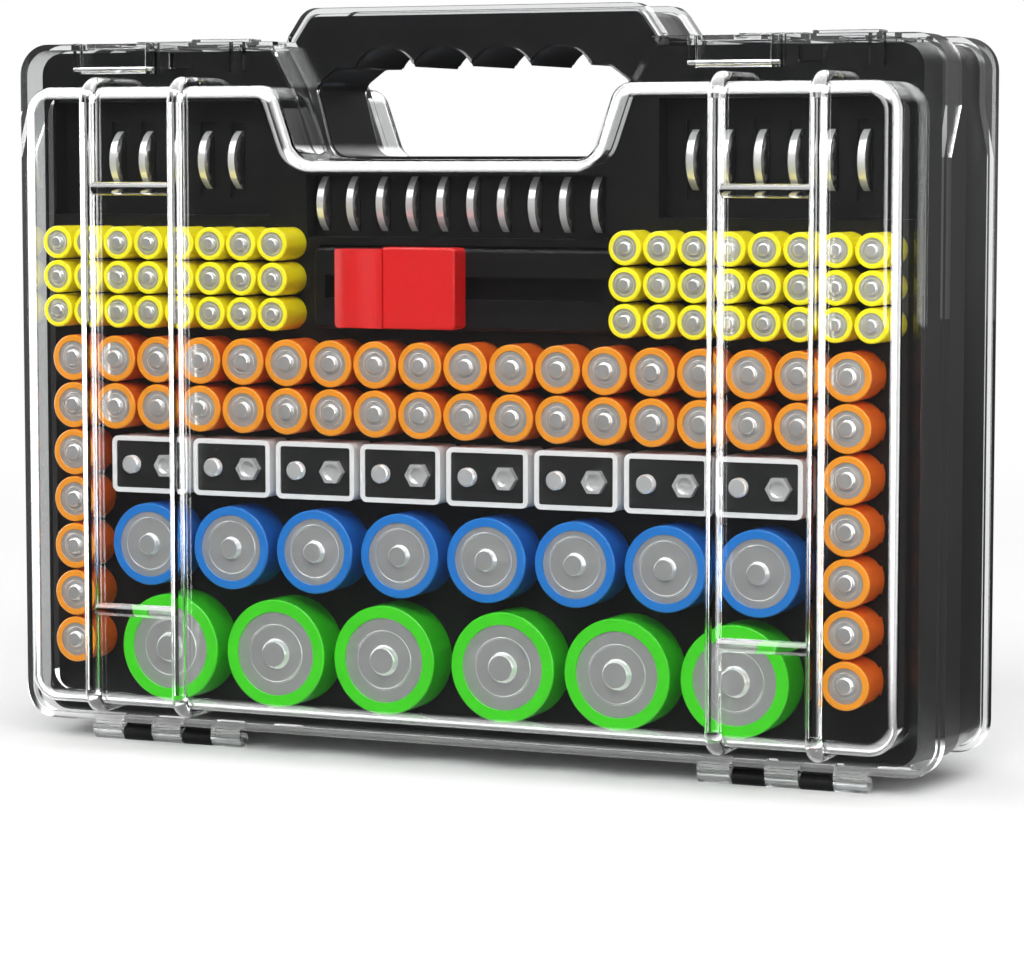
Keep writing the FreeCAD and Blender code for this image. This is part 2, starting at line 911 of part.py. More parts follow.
def catches():
    """Low bosses on top of the body, below the windows of this side's latches."""
    pieces = []
    half_width = latch_window_width / 2 - catch_gap
    half_length = latch_window_length / 2 - catch_gap
    top = body_top + latch_body_gap - catch_clearance
    for x in front_latch_places():
        middle = latch_window_middle()
        pieces.append(box(x - half_width, x + half_width, middle - half_length,
                          middle + half_length, body_top - tray_wall / 2, top))
    return pieces


def latch_window_middle():
    return -latch_window_length / 2 - catch_gap


# Front tray: deck, sockets for the standing cells, coin bays and tester bay
def front_tray():
    shell = tray_shell(side_lean)
    outside = tray_block(side_lean)
    front = -deck + tray_wall / 2
    half_aa = aa_radius + socket_gap + socket_wall
    half_aaa = aaa_radius + socket_gap + socket_wall
    half_c = c_radius + socket_gap + socket_wall
    half_d = d_radius + socket_gap + socket_wall
    aa_back = -cell_shoulder + aa_body_length + socket_end_gap + socket_floor
    aaa_back = -cell_shoulder + aaa_body_length + socket_end_gap + socket_floor
    c_back = -cell_shoulder + c_body_length + socket_end_gap + socket_floor
    d_back = -cell_shoulder + d_body_length + socket_end_gap + socket_floor
    block_back = -block_rim_face + block_length + socket_end_gap + socket_floor
    lowest_aa = aa_low_z - aa_side_rows * aa_row_pitch
    c_reach = (c_count - 1) / 2 * c_pitch
    d_reach = d_outer_x
    blocks = [box(-aa_column_x - half_aa, aa_column_x + half_aa, front, aa_back,
                  aa_low_z - half_aa, aa_top_z + half_aa)]
    for side in (-1, 1):
        blocks.append(box(side * aa_column_x - half_aa, side * aa_column_x + half_aa, front,
                          aa_back, lowest_aa - half_aa, aa_low_z))
    for centre in (aaa_left_centre_x, aaa_right_centre_x):
        blocks.append(box(centre - aaa_reach - half_aaa, centre + aaa_reach + half_aaa, front,
                          aaa_back, aaa_low_z - half_aaa, aaa_top_z + half_aaa))
    blocks.append(box(-c_reach - half_c, c_reach + half_c, front, c_back, c_z - half_c,
                      c_z + half_c))
    blocks.append(box(-d_reach - half_d, d_reach + half_d, front, d_back, d_z - half_d,
                      d_z + half_d))
    block_side = block_width / 2 + socket_gap + socket_wall
    block_half_height = block_height / 2 + socket_gap + socket_wall
    blocks.append(box(-c_reach - block_side, c_reach + block_side, front, block_back,
                      block_z - block_half_height, block_z + block_half_height))
    coin_back = -coin_bay_floor + coin_stand_back(coin_stand)
    for side in (-1, 1):
        blocks.append(box(side * side_bay_centre_x - side_bay_half_width - socket_wall,
                          side * side_bay_centre_x + side_bay_half_width + socket_wall, front,
                          coin_back, side_bay_bottom - socket_wall, side_bay_top + socket_wall))
    blocks.append(box(middle_bay_centre_x - middle_bay_half_width - socket_wall,
                      middle_bay_centre_x + middle_bay_half_width + socket_wall, front,
                      coin_back, middle_bay_bottom - socket_wall,
                      middle_coin_z + coin_radius + socket_wall))
    tester_side = tester_gap + socket_wall
    blocks.append(box(tester_left - tester_side, tester_right + tester_side, front,
                      -tester_back + tray_wall, tester_bottom - tester_side,
                      tester_top + tester_side))
    for x, z, seat, radius in screw_places:
        blocks.append(rod_y(x, z, radius, -seat + tray_wall / 2, 0).common(outside))
    blocks += knuckles_on_body()
    blocks += keeper_bosses()
    body = shell.multiFuse(blocks)
    body = body.multiFuse(catches())

    ahead = -deck - overrun
    cuts = []
    for x, z in d_places():
        cuts.append(rod_y(x, z, d_radius + socket_gap, ahead, d_back - socket_floor))
    for x, z in c_places():
        cuts.append(rod_y(x, z, c_radius + socket_gap, ahead, c_back - socket_floor))
    for x, z in aa_places():
        cuts.append(rod_y(x, z, aa_radius + socket_gap, ahead, aa_back - socket_floor))
    for x, z in aaa_places():
        cuts.append(rod_y(x, z, aaa_radius + socket_gap, ahead, aaa_back - socket_floor))
    for x, z in block_places():
        hole = grown(rectangle(x - block_width / 2, x + block_width / 2, z - block_height / 2,
                               z + block_height / 2, block_corner_radius), socket_gap)
        cuts.append(prism(hole, ahead, block_back - socket_floor))
    for side in (-1, 1):
        centre = side * side_bay_centre_x
        cuts.append(box(centre - side_bay_half_width, centre + side_bay_half_width, ahead,
                        -coin_bay_floor, side_bay_bottom, side_bay_top))
    cuts.append(box(middle_bay_centre_x - middle_bay_half_width,
                    middle_bay_centre_x + middle_bay_half_width, ahead, -coin_bay_floor,
                    middle_bay_bottom, middle_bay_top))
    cuts.append(box(tester_left - tester_gap, tester_right + tester_gap, ahead, -tester_back,
                    tester_bottom - tester_gap, slider_top + tester_gap))
    body = body.cut(Part.Compound(cuts))
    slots = []
    for x, z in front_coin_places():
        slots.append(coin_slot(x, z, -coin_bay_floor - coin_stand))
        if z == side_coin_z:
            slots.append(coin_well(x, z))
    shank = screw_shank_radius + screw_hole_gap
    for x, z, seat, radius in screw_places:
        slots.append(rod_y(x, z, shank, -screw_bite - overrun, overrun))
    slots += hinge_bores(hinge_pin_radius + pin_fit)
    return body.cut(Part.Compound(slots))


def coin_stand_back(stand):
    """Depth of a coin block behind the bay floor."""
    return 2 * coin_radius - stand + socket_end_gap + socket_floor


def coin_well(x, z):
    """Shallow recess round the mouth of a coin slot."""
    half = coin_thickness / 2 + coin_well_side
    reach = coin_radius + coin_well_end
    return box(x - half, x + half, -coin_bay_floor - overrun, -coin_bay_floor + coin_well_depth,
               z - reach, z + reach)


def coin_slot(x, z, tip):
    """Slot for a coin that stands on edge, its outermost point at y = tip."""
    half = coin_thickness / 2 + coin_slot_gap
    return rod_x(tip + coin_radius, z, coin_radius + coin_slot_gap, x - half, x + half)


# Rear tray: deck with plateaus for the lying cells and coin slots, made in its own front view
def rear_tray():
    shell = tray_shell(0)
    pieces = []
    front = -deck + tray_wall / 2
    half = rear_plateau_half_width
    lime_back = -lying_top + lime_diameter + lying_gap + lying_floor
    sky_back = -lying_top + sky_diameter + lying_gap + lying_floor
    side_inner = lime_x() - row_span(lime_length) / 2 - lying_end_gap - socket_wall
    corner = panel_corner_radius - plateau_side_margin
    rounded = prism(rectangle(-half, half, rear_plateau_bottom, middle_plateau_bottom + 2 * corner,
                              corner), -small_plateau, front)
    pieces.append(rounded.common(box(-half, half, -small_plateau, front, rear_plateau_bottom,
                                     middle_plateau_bottom)))
    pieces.append(box(-half, half, -middle_plateau, front, middle_plateau_bottom,
                      big_plateau_bottom))
    pieces.append(box(-half, half, -big_plateau, sky_back, big_plateau_bottom,
                      big_plateau_middle_top))
    for side in (-1, 1):
        pieces.append(box(side * side_inner, side * half, -big_plateau, lime_back,
                          big_plateau_bottom, big_plateau_top))
        centre = side * side_bay_centre_x
        pieces.append(box(centre - side_bay_half_width - socket_wall,
                          centre + side_bay_half_width + socket_wall, front,
                          -coin_bay_floor + coin_stand_back(rear_coin_stand),
                          rear_bay_bottom - socket_wall, rear_bay_top + socket_wall))
    relief_side = d_outer_x + d_radius + socket_gap + socket_wall + boss_relief
    relief_low = d_z - d_radius - socket_gap - socket_wall - boss_relief
    relief = box(-relief_side, relief_side, -deck + tray_wall, overrun, relief_low, d_z)
    for x, z, seat, radius in screw_places:
        pieces.append(rod_y(x, z, radius, -seat + tray_wall / 2, 0).cut(relief))
    pieces += knuckles_on_body()
    pieces += keeper_bosses()
    body = shell.multiFuse(pieces)
    body = body.multiFuse(catches())

    cuts = []
    for side in (-1, 1):
        centre = side * side_bay_centre_x
        cuts.append(box(centre - side_bay_half_width, centre + side_bay_half_width,
                        -deck - overrun, -coin_bay_floor, rear_bay_bottom, rear_bay_top))
    body = body.cut(Part.Compound(cuts))
    slots = []
    for x, z in rear_coin_places():
        slots.append(coin_slot(x, z, -coin_bay_floor - rear_coin_stand))
    for diameter, places in lying_cells.values():
        for x, z, length in places:
            slots.append(lying_pocket(diameter, x, z, length))
    shank = screw_shank_radius + screw_hole_gap
    head = screw_head_radius + screw_head_gap
    for x, z, seat, radius in screw_places:
        slots.append(rod_y(x, z, shank, -seat - overrun, overrun))
        slots.append(rod_y(x, z, head, -seat - overrun, -seat + screw_head_height))
    slots += hinge_bores(hinge_pin_radius + pin_fit)
    body = body.cut(Part.Compound(slots))
    return half_turn(body)


def lying_pocket(diameter, x, z, length):
    """Trough for one lying cell, its nub pointing to +X in this view."""
    radius = diameter / 2
    axis = -lying_top + radius
    x0 = x - length / 2 - lying_nub_length / 2 - lying_end_gap
    x1 = x + length / 2 + lying_nub_length / 2 + lying_end_gap
    trough = rod_x(axis, z, radius + lying_gap, x0, x1)
    mouth = box(x0, x1, axis, -lying_top, z - radius - lying_gap, z + radius + lying_gap)
    return trough.fuse(mouth)


# Lid, made as the front one
def rib(x):
    """Half-round rib that runs up the panel and bends back over its two ends."""
    face = -panel_face - rib_lift
    low = panel_bottom - rib_lift
    high = panel_top + rib_lift
    start = -lid_shelf + lid_wall / 2
    bend = rib_bend_radius
    drop = bend * (1 - math.cos(math.pi / 4))
    a = Vector(x, start, low)
    b = Vector(x, face + bend, low)
    b_middle = Vector(x, face + drop, low + drop)
    c = Vector(x, face, low + bend)
    d = Vector(x, face, high - bend)
    d_middle = Vector(x, face + drop, high - drop)
    e = Vector(x, face + bend, high)
    f = Vector(x, start, high)
    edges = [
        Part.LineSegment(a, b).toShape(),
        Part.Arc(b, b_middle, c).toShape(),
        Part.LineSegment(c, d).toShape(),
        Part.Arc(d, d_middle, e).toShape(),
        Part.LineSegment(e, f).toShape(),
    ]
    path = Part.Wire(edges)
    section = Part.Wire([Part.makeCircle(rib_radius, a, Vector(0, 1, 0))])
    return path.makePipeShell([section], True, False)


def rib_channel(x):
    """Channel up the back of a rib's straight part, open to the inside of the panel."""
    face = -panel_face - rib_lift
    low = panel_bottom - rib_lift + rib_bend_radius
    high = panel_top + rib_lift - rib_bend_radius
    bore = Part.makeCylinder(rib_channel_radius, high - low, Vector(x, face, low))
    return bore.fuse(box(x - rib_channel_radius, x + rib_channel_radius, face,
                         -panel_back + overrun, low, high))


def corner_skirts():
    """Deeper skirts at the two top corners, tapered at their lower ends."""
    deep_end = skirt_end - corner_skirt_depth
    ring = prism(rim_outline, -skirt_end - overrun, -deep_end)
    ring = ring.cut(prism(grown(rim_outline, -lid_wall), -skirt_end - 2 * overrun, 0))
    taper_top = rim_top - corner_skirt_height
    taper_low = taper_top - corner_skirt_taper
    inner_x = case_half_width - corner_skirt_run
    pieces = []
    for side in (-1, 1):
        corner = box(side * inner_x, side * (case_half_width + overrun), -skirt_end - overrun,
                     -deep_end, taper_low, rim_top + overrun)
        slope = Part.makePolygon([
            Vector(0, -skirt_end, taper_low),
            Vector(0, -deep_end, taper_top),
            Vector(0, 0, taper_top),
            Vector(0, 0, taper_low - overrun),
            Vector(0, -skirt_end, taper_low - overrun),
            Vector(0, -skirt_end, taper_low),
        ])
        wedge = Part.Face(slope).extrude(Vector(2 * case_half_width + 4 * overrun, 0, 0))
        wedge.translate(Vector(-case_half_width - 2 * overrun, 0, 0))
        pieces.append(ring.common(corner).cut(wedge))
    return pieces


def latch_axis():
    return -lid_shelf - latch_shelf_gap - latch_plate / 2, rim_top - latch_plate_height + \
        latch_pivot_height


def latch_lugs():
    """Lugs on the shelf that carry the pins of the lid's two latches."""
    axis_y, axis_z = latch_axis()
    low = axis_z - latch_barrel_radius - lug_gap
    front = axis_y - latch_barrel_radius
    pieces = []
    for x in front_latch_places():
        for side in (-1, 1):
            inner = x + side * (latch_width / 2 + lug_gap)
            outer = inner + side * lug_thickness
            pieces.append(box(inner, outer, front, -shelf_back - overrun / 2, low, rim_top))
    return pieces


def keeper_frames():
    """Raised frames with a window, beside the latches, and the small end lugs."""
    half = keeper_width / 2
    low = rim_top - keeper_height
    front = -lid_shelf - keeper_depth
    back = -shelf_back - overrun / 2
    pieces = []
    windows = []
    for x in keeper_places():
        pieces.append(box(x - half, x + half, front, back, low, rim_top))
        x0, x1, z0, z1 = keeper_window(x, 0)
        windows.append(box(x0, x1, front - overrun, -skirt_end, z0, z1))
        start = x + half + 2 * lug_gap
        pieces.append(box(start, start + end_lug_width, front, back, low, rim_top))
    return pieces, windows


def latch_slots():
    """Slots in the lid's top rim that the latch tongues lie in."""
    half = latch_tongue_width / 2 + latch_slot_gap
    low = body_top + latch_body_gap - latch_slot_gap
    return [box(x - half, x + half, -lid_shelf - overrun, -skirt_end + overrun, low,
                rim_top + overrun) for x in front_latch_places()]


def lid_knuckles():
    pieces = []
    for side in (-1, 1):
        for index in (0, 2, 4):
            x0, x1 = knuckle_span(side, index)
            pieces.append(knuckle(x0, x1))
            pieces.append(box(x0, x1, -hinge_axis_y - hinge_web, -hinge_axis_y, hinge_axis_z,
                              rim_bottom + lid_wall / 2))
    return pieces


def rounded_panel(corners, y_face, y_back, edge_radius):
    """Raised panel with a rounded front edge."""
    solid = prism(corners, y_face, y_back)
    front_edges = []
    for edge in solid.Edges:
        bounds = edge.BoundBox
        if abs(bounds.YMin - y_face) < label_step / 10 and bounds.YLength < label_step / 10:
            front_edges.append(edge)
    return solid.makeFillet(edge_radius, front_edges)


def lid():
    below_rim = box(-case_width, case_width, -body_depth, body_depth, -case_width, rim_top)
    above_rim = box(-case_width, case_width, -body_depth, body_depth, rim_top - lid_wall,
                    rim_top + handle_rise + overrun)
    inner_grip = grown(grip_outline, -lid_wall)
    wall_zone = prism(grown(grip_outline, lid_wall), -lid_shelf, -sheet_back).common(below_rim)
    outer = prism(rim_outline, -lid_shelf, -skirt_end)
    outer = outer.fuse(rounded_panel(panel_outline, -panel_face, -shelf_back, panel_edge_radius))
    ribs = []
    for x in (-rib_outer_x, -rib_inner_x, rib_inner_x, rib_outer_x):
        ribs.append(rib(x))
    for side in (-1, 1):
        for z in (upper_bar_z, lower_bar_z):
            ribs.append(rod_x(-panel_face - bar_lift, z, bar_radius, side * rib_inner_x,
                              side * rib_outer_x))
    outer = outer.multiFuse(ribs)
    panel_cavity = rounded_panel(grown(panel_outline, -lid_wall), -panel_back, -skirt_end,
                                 panel_edge_radius - lid_wall)
    rim_cavity = prism(grown(rim_outline, -lid_wall), -shelf_back, -skirt_end + overrun)
    shell = outer.cut(panel_cavity.fuse(rim_cavity))

    handle_skirt = prism(grip_outline, -handle_sheet_face,
                         -handle_sheet_face + handle_skirt_depth).common(above_rim)
    handle_skirt = handle_skirt.cut(prism(inner_grip, -sheet_back, 0))
    below_foot = box(-case_width, case_width, -sheet_back, 0, -case_width, rim_top)
    handle_skirt = handle_skirt.cut(below_foot)
    sheet = prism(grip_outline, -handle_sheet_face, -sheet_back)
    frame, windows = keeper_frames()
    additions = [wall_zone, handle_skirt, sheet]
    additions += corner_skirts()
    additions += frame
    additions += latch_lugs()
    additions += lid_knuckles()
    shell = shell.multiFuse(additions)
    shell = shell.cut(prism(grip_outline, -panel_face - overrun, -handle_sheet_face))
    cuts = windows + latch_slots() + hinge_bores(hinge_pin_radius + hinge_running_fit)
    cuts.append(finger_hole(hole_lip_clearance, -handle_sheet_face - label_step, 0))
    for x in (-rib_outer_x, -rib_inner_x, rib_inner_x, rib_outer_x):
        cuts.append(rib_channel(x))
    axis_y, axis_z = latch_axis()
    for x in front_latch_places():
        reach = latch_width / 2 + lug_gap + lug_thickness + overrun
        cuts.append(rod_x(axis_y, axis_z, latch_pin_radius, x - reach, x + reach))
    return shell.cut(Part.Compound(cuts))


def latch(x):
    """Snap lever: a front plate on its pin, and a tongue over the top of the case."""
    axis_y, axis_z = latch_axis()
    half = latch_width / 2
    plate_front = axis_y - latch_plate / 2
    plate_back = axis_y + latch_plate / 2
    low = body_top + latch_body_gap
    top = low + latch_tongue_thickness
    plate = box(x - half, x + half, plate_front, plate_back, axis_z, top)
    barrel = rod_x(axis_y, axis_z, latch_barrel_radius, x - half, x + half)
    tongue_half = latch_tongue_width / 2
    tongue = box(x - tongue_half, x + tongue_half, plate_front, latch_tongue_reach, low, top)
    tip = box(x - tongue_half, x + tongue_half, latch_tongue_reach - latch_tip_length,
              latch_tongue_reach, low, top + latch_tip_rise)
    body = plate.multiFuse([barrel, tongue, tip])
    window_half = latch_window_width / 2
    middle = latch_window_middle()
    window = box(x - window_half, x + window_half, middle - latch_window_length / 2,
                 middle + latch_window_length / 2, low - overrun, top + overrun)
    bore = rod_x(axis_y, axis_z, latch_pin_radius + latch_pin_fit, x - half - overrun,
                 x + half + overrun)
    return body.cut(window).cut(bore)


def latch_pin(x):
    axis_y, axis_z = latch_axis()
    reach = latch_width / 2 + lug_gap + lug_thickness
    return rod_x(axis_y, axis_z, latch_pin_radius, x - reach, x + reach)


def hinge_pin(side):
    half = knuckle_count * knuckle_length / 2 - knuckle_side_gap
    centre = side * hinge_centre_x
    return rod_x(-hinge_axis_y, hinge_axis_z, hinge_pin_radius, centre - half, centre + half)


# Screws, driven from the rear side
def case_screws():
    screws = []
    for x, z, seat, radius in screw_places:
        head_back = seat - screw_head_height
        head = Part.makeCone(screw_shank_radius, screw_head_radius, screw_head_height,
                             Vector(x, head_back, z), Vector(0, 1, 0))
        shank = rod_y(x, z, screw_shank_radius, -screw_bite, head_back + label_step)
        cross_half = screw_head_radius * 2 / 3
        slot = box(x - cross_half, x + cross_half, seat - label_step * 2, seat + overrun,
                   z - label_step, z + label_step)
        bar = box(x - label_step, x + label_step, seat - label_step * 2, seat + overrun,
                  z - cross_half, z + cross_half)
        screws.append(head.fuse(shank).cut(slot.fuse(bar)))
    return screws


# Standing cells
def turned(profile):
    """Solid turned about the Y axis from (radius, y) points."""
    points = [Vector(radius, y, 0) for radius, y in profile]
    wire = Part.makePolygon(points + [points[0]])
    return Part.Face(wire).revolve(Vector(0, 0, 0), Vector(0, 1, 0), 360)


def sleeve(radius, ring_width, length):
    """Printed body of a cell, with a shallow recess for the metal end."""
    edge = label_step
    recess = cap_recess + cap_plate
    inner = radius - ring_width
    return turned([
        (0, recess),
        (inner, recess),
        (inner, 0),
        (radius - edge, 0),
        (radius, edge),
        (radius, length - edge),
        (radius - edge, length),
        (0, length),
    ])


def metal_end(radius, ring_width, nub_radius, nub_height, bead_radius):
    """Metal end disc with a raised bead and the nub."""
    inner = radius - ring_width - label_step / 10
    back = cap_recess + cap_plate
    face = cap_recess
    edge = nub_edge_radius
    bead = cap_bead_width
    lift = cap_bead_height
    tip = nub_radius * nub_tip_share
    return turned([
        (0, back),
        (inner, back),
        (inner, face),
        (bead_radius + bead, face),
        (bead_radius + bead / 2, face - lift),
        (bead_radius - bead / 2, face - lift),
        (bead_radius - bead, face),
        (nub_radius, face),
        (nub_radius - edge / 2, face - edge),
        (tip + edge / 2, -nub_height + edge / 2),
        (tip, -nub_height),
        (0, -nub_height),
    ])


def standing(shape, places, y):
    return [moved(shape, x, y, z) for x, z in places]


def export_standing(name, radius, ring, length, nub_radius, nub_height, bead_radius, places):
    body = sleeve(radius, ring, length)
    end = metal_end(radius, ring, nub_radius, nub_height, bead_radius)
    export(name + "_sleeves", standing(body, places, -cell_shoulder))
    export(name + "_metal_ends", standing(end, places, -cell_shoulder))


# Nine volt blocks
def nine_volt_parts():
    cases = []
    faces = []
    small_studs = []
    large_studs = []
    front = -block_rim_face
    face_front = front + block_face_recess
    face_back = face_front + block_face_plate
    for x, z in block_places():
        outer = rectangle(x - block_width / 2, x + block_width / 2, z - block_height / 2,
                          z + block_height / 2, block_corner_radius)
        inner = grown(outer, -block_rim)
        case = prism(outer, front, front + block_length)
        cases.append(case.cut(prism(inner, front - overrun, face_back)))
        faces.append(prism(grown(inner, -label_step / 10), face_front, face_back))
        stud = turned([
            (0, 0),
            (small_stud_radius, 0),
            (small_stud_neck, -stud_height / 2),
            (small_stud_radius, -stud_height * 3 / 4),
            (small_stud_radius - nub_edge_radius, -stud_height),
            (0, -stud_height),
        ])
        small_studs.append(moved(stud, x - stud_spacing / 2, face_front, z))
        corners = []
        for index in range(stud_sides):
            angle = 2 * math.pi * index / stud_sides
            corners.append(Vector(large_stud_radius * math.cos(angle), 0,
                                  large_stud_radius * math.sin(angle)))
        ring = Part.Face(Part.makePolygon(corners + [corners[0]]))
        hexagon = ring.extrude(Vector(0, -stud_height, 0))
        bore = rod_y(0, 0, large_stud_bore, -stud_height - overrun,
                     -stud_height + large_stud_bore_depth)
        large_studs.append(moved(hexagon.cut(bore), x + stud_spacing / 2, face_front, z))
    return cases, faces, small_studs, large_studs


# Coin cells
def coin():
    """Coin cell turned about X, middle at the origin."""
    half = coin_thickness / 2
    step = coin_edge
    points = [
        Vector(-half, 0, 0),
        Vector(-half, coin_radius - step, 0),
        Vector(-half + step, coin_radius, 0),
        Vector(half - 2 * step, coin_radius, 0),
        Vector(half - step, coin_radius - 2 * step, 0),
        Vector(half, coin_radius - 4 * step, 0),
        Vector(half, 0, 0),
    ]
    wire = Part.makePolygon(points + [points[0]])
    return Part.Face(wire).revolve(Vector(0, 0, 0), Vector(1, 0, 0), 360)


def coins(places, tip):
    disc = coin()
    return [moved(disc, x, tip + coin_radius, z) for x, z in places]


# Cell tester
def tester_body():
    left = tester_left
    right = tester_right
    outline = rectangle(left, right, tester_bottom, tester_top, tester_edge_radius)
    body = rounded_panel(outline, -tester_face, -tester_back, tester_edge_radius / 2)
    middle = (slider_bottom + slider_top) / 2
    x0 = left + rail_end_wall
    x1 = right - rail_end_wall
    neck = box(x0, x1, -tester_face - overrun, -tester_face + rail_neck_depth,
               middle - rail_neck / 2, middle + rail_neck / 2)
    foot = box(x0, x1, -tester_face + rail_neck_depth,
               -tester_face + rail_neck_depth + rail_foot_depth,
               middle - rail_foot / 2, middle + rail_foot / 2)
    contact = box(x0 - contact_thickness, x0, -tester_face + rail_neck_depth,
                  -tester_face + rail_neck_depth + rail_foot_depth,
                  middle - contact_depth / 2, middle + contact_depth / 2)
    return body.cut(neck.fuse(foot)).cut(contact)


def tester_end_contact():
    middle = (slider_bottom + slider_top) / 2
    x0 = tester_left + rail_end_wall
    return box(x0 - contact_thickness, x0, -tester_face + rail_neck_depth,
               -tester_face + rail_neck_depth + rail_foot_depth,
               middle - contact_depth / 2, middle + contact_depth / 2)


def tester_slider():
    right = slider_left + slider_width
    outline = rectangle(slider_left, right, slider_bottom, slider_top, slider_edge_radius)
    back = -tester_face - slider_running_gap
    block = rounded_panel(outline, -slider_face, back, slider_edge_radius / 2)
    groove_x = slider_left + slider_thumb_width
    groove = box(groove_x, groove_x + slider_groove_width, -slider_face - overrun,
                 -slider_face + slider_groove_depth, slider_bottom - overrun,
                 slider_top + overrun)
    block = block.cut(groove).cut(thumb_hollow(groove_x))
    block = block.cut(box(slider_left - overrun, groove_x, -slider_face - overrun, back + overrun,
                          slider_top - slider_thumb_drop, slider_top + overrun))
    middle = (slider_bottom + slider_top) / 2
    rail_left = slider_rail_left()
    rail_right = slider_rail_right()
    neck = box(rail_left, rail_right, back - overrun, -tester_face + rail_neck_depth + rail_gap,
               middle - rail_neck / 2 + rail_gap, middle + rail_neck / 2 - rail_gap)
    foot = box(rail_left, rail_right, -tester_face + rail_neck_depth + rail_gap,
               -tester_face + rail_neck_depth + rail_foot_depth - rail_gap,
               middle - rail_foot / 2 + rail_gap, middle + rail_foot / 2 - rail_gap)
    return fused([block, neck, foot])


def thumb_hollow(groove_x):
    """What is hollowed out of the slider's face to leave a crown for the thumb."""
    low = slider_bottom - overrun
    fallen = -slider_face + slider_thumb_fall
    outside = -slider_face - overrun
    left = Vector(slider_left, fallen, low)
    crown = Vector(slider_left + slider_thumb_crown, -slider_face, low)
    right = Vector(groove_x - slider_thumb_hollow, fallen, low)
    corners = [right, Vector(groove_x, fallen, low), Vector(groove_x, outside, low),
               Vector(slider_left - overrun, outside, low),
               Vector(slider_left - overrun, fallen, low), left]
    edges = [Part.Arc(left, crown, right).toShape()]
    edges += Part.makePolygon(corners).Edges
    face = Part.Face(Part.Wire(edges))
    return face.extrude(Vector(0, 0, slider_height + 2 * overrun))


def slider_rail_left():
    return tester_left + rail_end_wall + slider_travel_left + rail_gap + contact_thickness


def slider_rail_right():
    return slider_left + slider_width - rail_end_wall


def tester_slider_contact():
    """Small spring plate on the left end of the slider's rail."""
    middle = (slider_bottom + slider_top) / 2
    x1 = slider_rail_left()
    return box(x1 - contact_thickness, x1, -tester_face + rail_neck_depth + 2 * rail_gap,
               -tester_face + rail_neck_depth + rail_foot_depth - 2 * rail_gap,
               middle - contact_depth / 2, middle + contact_depth / 2)


# Lying cells, made in the rear tray's own front view and then turned
def lying_parts(diameter, places):
    radius = diameter / 2
    axis = -lying_top + radius
    edge = label_step * 2
    sleeves = []
    nubs = []
    for x, z, length in places:
        x0 = x - length / 2 - lying_nub_length / 2
        body = Part.makeCylinder(radius, length, Vector(x0, axis, z), Vector(1, 0, 0))
        sleeves.append(half_turn(body.makeChamfer(edge, [body.Edges[0], body.Edges[2]])))
        nubs.append(half_turn(rod_x(axis, z, radius * lying_nub_share, x0 + length,
                                    x0 + length + lying_nub_length)))
    return sleeves, nubs


export("front_tray", [front_tray()])
export("rear_tray", [rear_tray()])
export("case_screws", case_screws())

front_lid = lid()
export("front_lid", [front_lid])
export("rear_lid", [half_turn(front_lid)])

front_pins = [hinge_pin(-1), hinge_pin(1)]
export("front_lid_hinge_pins", front_pins)
export("rear_lid_hinge_pins", [half_turn(pin) for pin in front_pins])

far_latch = latch(-latch_far_x)
near_latch = latch(latch_near_x)
export("front_left_latch", [far_latch])
export("front_right_latch", [near_latch])
export("rear_left_latch", [half_turn(near_latch)])
export("rear_right_latch", [half_turn(far_latch)])
latch_pins = [latch_pin(x) for x in front_latch_places()]
export("front_latch_pins", latch_pins)
export("rear_latch_pins", [half_turn(pin) for pin in latch_pins])

export("tester_body", [tester_body()])
export("tester_slider", [tester_slider()])
export("tester_end_contact", [tester_end_contact()])
export("tester_slider_contact", [tester_slider_contact()])

export_standing("d_cell", d_radius, d_ring_width, d_body_length, d_nub_radius, d_nub_height,
                d_bead_radius, d_places())
export_standing("c_cell", c_radius, c_ring_width, c_body_length, c_nub_radius, c_nub_height,
                c_bead_radius, c_places())
export_standing("aa_cell", aa_radius, aa_ring_width, aa_body_length, aa_nub_radius,
                aa_nub_height, aa_bead_radius, aa_places())
export_standing("aaa_cell", aaa_radius, aaa_ring_width, aaa_body_length, aaa_nub_radius,
                aaa_nub_height, aaa_bead_radius, aaa_places())

case_parts, face_parts, small_parts, large_parts = nine_volt_parts()
export("nine_volt_cases", case_parts)
export("nine_volt_faces", face_parts)
export("nine_volt_small_studs", small_parts)
export("nine_volt_large_studs", large_parts)

export("front_coin_cells", coins(front_coin_places(), -coin_bay_floor - coin_stand))
rear_coins = coins(rear_coin_places(), -coin_bay_floor - rear_coin_stand)
export("rear_coin_cells", [half_turn(disc) for disc in rear_coins])

for row_name, (row_diameter, row_places) in lying_cells.items():
    row_sleeves, row_nubs = lying_parts(row_diameter, row_places)
    export(row_name, row_sleeves)
    export(row_name.replace("_cells", "_cell_nubs"), row_nubs)
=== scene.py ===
import json
import math

